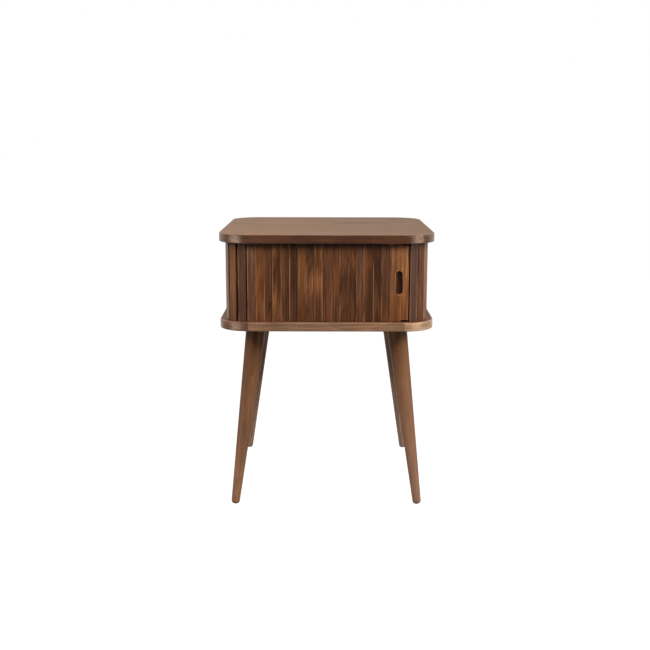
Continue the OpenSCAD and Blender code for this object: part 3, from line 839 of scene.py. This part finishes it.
front = [
    stock("mauve", "mauve", "mauve", "mauve", "tan", cut="quiet", light=0.92, arris_paint=(1.2, -0.3)),
    stock("russet", "honey", "russet", "russet", "honey", "russet", "honey", cut="quiet",
          light=1.04),
    stock("brown", "cocoa", "cocoa", "cocoa", "brown", lean=-0.1,
          knots=((0.005, 0.431, 0.0026), (0.004, 0.438, 0.0016))),
    stock("brown", "honey", "brown", "umber", "cocoa", "honey", cut="rising"),
    stock("brown", "cocoa", "brown", "brown", "brown", lean=-0.1, arris_paint=(0.8, -1.2)),
    stock("cocoa", "plum", "umber", "cocoa", "umber", lean=-0.3, arris_paint=(1.6, -0.5),
          knots=((0.001, 0.532, 0.0013), (0.0, 0.516, 0.0015))),
    stock("brown", "russet", "honey", "honey", "brown", light=0.96, lean=-0.1, arris_paint=(0.3, -0.4)),
    stock("brown", "brown", "honey", "brown", "umber", cut="rising", arris_paint=(0.9, -0.8)),
    stock("umber", "cocoa", "honey", "russet", "honey", cut="arch", arris_paint=(0.6, 1.4)),
    stock("brown", "brown", "mauve", "brown", light=0.96, cut="quiet", arris_paint=(-1.0, -0.3)),
    stock("cocoa", "brown", "russet", "russet", "brown", light=0.92, arris_paint=(0.6, -0.4)),
    stock("cocoa", "brown", "umber", "brown", "cocoa", cut="rising", arris_paint=(1.0, -0.9)),
    stock("umber", "cocoa", "umber", "russet", "cocoa", cut="falling", light=1.05,
          arris_paint=(0.4, -0.8)),
    stock("brown", "brown", "mauve", "mauve", "mauve", cut="rising", light=0.98, arris_paint=(0.8, 0.8)),
    stock("umber", "umber", "cocoa", "russet", "cocoa", lean=-0.3, light=0.92, arris_paint=(0.2, -0.6)),
    stock("umber", "cocoa", "umber", "umber", "cocoa", cut="falling", light=0.98, arris_paint=(1.3, -0.4)),
    stock("russet", "brown", "mauve", "brown", "mauve", light=0.92, arris_paint=(0.8, -1.2)),
]
for count, used in enumerate(front, 1):
    node = "door_slat_%02d" % count
    shape = workpiece()
    add_slat(shape, on_canvas((0.5 - count) * slat_pitch), used)
    draws_in(finished(shape, node + "_walnut", slat_walnut, "walnut_slats", "door", node))

low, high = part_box("door_canvas")
columns = 40
shape = workpiece()
grid = {(k, y, z): shape.verts.new((low.x + (high.x - low.x) * k / columns, y, z))
        for k in range(columns + 1) for y in (low.y, high.y) for z in (low.z, high.z)}
for k in range(columns):
    for a, b in (((low.y, low.z), (low.y, high.z)), ((high.y, low.z), (high.y, high.z)),
                 ((low.y, low.z), (high.y, low.z)), ((low.y, high.z), (high.y, high.z))):
        shape.faces.new((grid[(k,) + a], grid[(k + 1,) + a], grid[(k + 1,) + b], grid[(k,) + b]))
for k in (0, columns):
    shape.faces.new([grid[k, y, z] for y, z in ((low.y, low.z), (high.y, low.z), (high.y, high.z),
                                                (low.y, high.z))])
draws_in(finished(shape, "door_canvas_duck", canvas, "canvas", "door", "door_canvas"))


# ---------------------------------------------------------------------------------------------
# The lead slat: broader than the rest and the lightest of them, with a finger recess routed into
# its face and its free corners relieved so that it can start into the bend.
relief_wide, relief_high, face_rim, hair = 0.016, 0.003, 0.0032, 0.0001
recess_wide, recess_high, recess_deep, cutter_round = 0.014, 0.049, 0.008, 0.0012
recess_x, recess_z = (lead_left + lead_right) / 2 - hair, (slat_low + slat_high) / 2


def lead_slat(used):
    shape = workpiece()
    edge = shape.verts.layers.float["arris"]
    x0, x1 = lead_left + (slat_pitch - slat_width) / 2, lead_right
    z0, z1 = slat_low, slat_high
    # anticlockwise from the middle of the bottom, and which way is in
    rim = [(recess_x, z0, 0, 1), (x1 - relief_wide, z0, -1, 1),
           (x1 - relief_wide, z0 + relief_high, -1, 1), (x1, z0 + relief_high, -1, 1),
           (x1, z1 - relief_high, -1, -1), (x1 - relief_wide, z1 - relief_high, -1, -1),
           (x1 - relief_wide, z1, -1, -1), (recess_x, z1, 0, -1), (x0, z1, 1, -1), (x0, z0, 1, 1)]
    reach, radius, hole = (recess_high - recess_wide) / 2, recess_wide / 2, []
    for start, steps, end in ((-90, 9, -reach), (0, 8, reach), (90, 9, reach), (180, 8, -reach)):
        for k in range(steps):
            a = math.radians(start + 90 * k / 8)
            c, s = math.cos(a), math.sin(a)
            hole.append((recess_x + radius * c, recess_z + end + radius * s, c, s))

    def ringed(points, profile):
        """Faces along a profile, which goes in as far up and down as sideways, or else by rise."""
        rings = []
        for inset, depth, worn_and_lit, *rise in profile:
            up = rise[0] if rise else inset
            rings.append([shape.verts.new((x + dx * inset, depth - side, z + dz * up))
                          for x, z, dx, dz in points])
            for v in rings[-1]:
                v[edge] = worn_and_lit
        for near, far in zip(rings, rings[1:]):
            for k in range(len(points)):
                n = (k + 1) % len(points)
                shape.faces.new((near[k], near[n], far[n], far[k]))
        return rings[0], rings[-1]

    bottom = [(cutter_round * (math.cos(a) - 1),
               recess_deep - cutter_round * (1 - math.sin(a)), 0.0) for a in quarter_turn]
    # the face's first ring lies as far in from the ends as the painted shade under the top board
    # reaches
    face, back = ringed(rim, [(face_rim, 0.0, 0.0, head_shade_reach)] + slat_profile())
    mouth, floor_of_it = ringed(hole, slat_profile()[:-1] + bottom)
    shape.faces.new(back)
    # the recess's floor and the flat of the face, each in a right and a left half
    top = 17
    shape.faces.new(floor_of_it[:top + 1])
    shape.faces.new(floor_of_it[top:] + floor_of_it[:1])
    shape.faces.new(face[:8] + mouth[top::-1])
    shape.faces.new(face[7:] + [face[0], mouth[0]] + mouth[:top - 1:-1])
    for z in (z0 - tongue_long, z1):
        block = bmesh.ops.create_cube(shape, size=1.0)["verts"]
        for v in block:
            v.co = (lead_left + slat_pitch / 2 + tongue_wide * v.co.x,
                    tongue_back - side + tongue_thick * (v.co.y + 0.5),
                    z + tongue_long * (v.co.z + 0.5))

    def read(f, loop):
        x, y, z = loop.vert.co.x - recess_x, loop.vert.co.y + side, loop.vert.co.z
        grain, heart, knot, tone = lay(used, x, y, z)
        inside = abs(x) < recess_wide / 2 + hair and abs(z - recess_z) < recess_high / 2 + hair
        # painted shade darkens the recess, most at its right and on its upward-facing foot
        share = 1.0
        if inside and y > slat_round - hair:
            aside = x / (recess_wide / 2)
            share = 0.3 - 0.65 * min(aside, 0.0) - 0.29 * max(aside, 0.0)
            if f.normal.z > 0.5:
                share *= 0.4
        return grain, heart, knot, [v * share for v in tone[:3]] + tone[3:]

    sawn(shape, shape.faces, read)
    finished(shape, "lead_slat_walnut", slat_walnut, "lead_slat", "door", "lead_slat")


lead_slat(stock("russet", "honey", "amber", cut="broad", light=1.17, lean=0.13,
                knots=((-0.0035, 0.554, 0.0012), (-0.018, 0.545, 0.001))))


# ---------------------------------------------------------------------------------------------
# The legs: turned from solid walnut, tapering straight to a rounded foot, each leaning out along
# its corner. A steel plate with a wedge under the board and a hanger bolt hold each one.
leg_top, leg_foot = (0.150, 0.150), (0.196, 0.201)
leg_top_r, leg_foot_r, foot_round, foot_flat = 0.021, 0.009, 0.007, 0.0006
plate_thick, leg_steps, foot_steps, leg_sides = 0.0035, 24, 8, 56
leg_climb, leg_heart = 0.012, (0.018, 0.03)
leg_out = math.hypot(leg_foot[0] - leg_top[0], leg_foot[1] - leg_top[1])
leg_tilt = math.atan(leg_out / board_low[0].z)
leg_long = (board_low[0].z - plate_thick - leg_top_r * math.sin(leg_tilt)) / math.cos(leg_tilt)

leg_walnut = oiled_walnut("walnut_leg", rub=0.2, shine=0.22, dull=0.05, ring_width=0.0045,
                          rings=0.2, streaks=0.2, fibre=0.35, pores=0.4, mottle=1.1)


def leg(where, right, rear, foot_tone, head_tone, chance):
    """Turns one leg on its own axis and stands it in its corner: right and rear are 1 or -1."""
    profile = [(leg_foot_r - foot_round + foot_round * math.sin(a),
                foot_round * (1 - math.cos(a)) - foot_flat)
               for a in (math.radians(90 * k / foot_steps) for k in range(foot_steps + 1))]
    r, z = profile[-1]
    profile += [(r + (leg_top_r - r) * k / leg_steps, z + (leg_long - z) * k / leg_steps)
                for k in range(1, leg_steps + 1)]
    stand = (Matrix.Translation((right * leg_foot[0], rear * leg_foot[1], 0))
             @ Matrix.Rotation(math.atan2(-rear * (leg_foot[1] - leg_top[1]),
                                          -right * (leg_foot[0] - leg_top[0])), 4, "Z")
             @ Matrix.Rotation(leg_tilt, 4, "Y"))
    shape, local = workpiece(), {}

    def point(x, y, z):
        p = stand @ Vector((x, y, z))
        v = shape.verts.new((p.x, p.y, max(p.z, 0.0)))
        local[v] = (x, y, z)
        return v

    turns = [2 * math.pi * k / leg_sides for k in range(leg_sides)]
    rings = [[point(r * math.cos(turn), r * math.sin(turn), z) for turn in turns]
             for r, z in profile]
    for low, high in zip(rings, rings[1:]):
        for k in range(leg_sides):
            n = (k + 1) % leg_sides
            shape.faces.new((low[k], low[n], high[n], high[k]))
    shape.faces.new(rings[0])
    shape.faces.new(rings[-1])
    draw = random.Random(chance)
    a, b, c = draw.uniform(0, 30), draw.uniform(0, 3), draw.uniform(0, 3)

    def read(f, loop):
        x, y, z = local[loop.vert]
        tone = [p + (q - p) * z / leg_long for p, q in zip(foot_tone, head_tone)]
        return ((z + a, x + b, y + c), (leg_climb * z, x + leg_heart[0], y + leg_heart[1]), no_knot,
                tone)

    sawn(shape, shape.faces, read)
    finished(shape, "leg_" + where + "_turned", leg_walnut, "walnut_legs", "cabinet",
             "leg_" + where, smooth=50)


# painted light: the rear legs are paler than the front ones, standing in for light the lamps give
# them too little of; every leg is darker towards its head
leg("front_left", -1, -1, colour(160, 117, 88), colour(118, 73, 40), 41)
leg("front_right", 1, -1, colour(168, 127, 102), colour(130, 85, 52), 42)
leg("rear_left", -1, 1, colour(176, 139, 116), colour(164, 127, 106), 33)
leg("rear_right", 1, 1, colour(192, 155, 134), colour(178, 143, 124), 34)

powder = marked("powder_coat", colour(30, 30, 32), colour(42, 42, 44), 0.0, (0.45, 0.6), 2600.0,
                0.00005)
dress(powder, "leg_plate_front_left", "leg_plate_front_right", "leg_plate_rear_left",
      "leg_plate_rear_right")
dress(zinc, "hanger_bolts", "plate_screws")
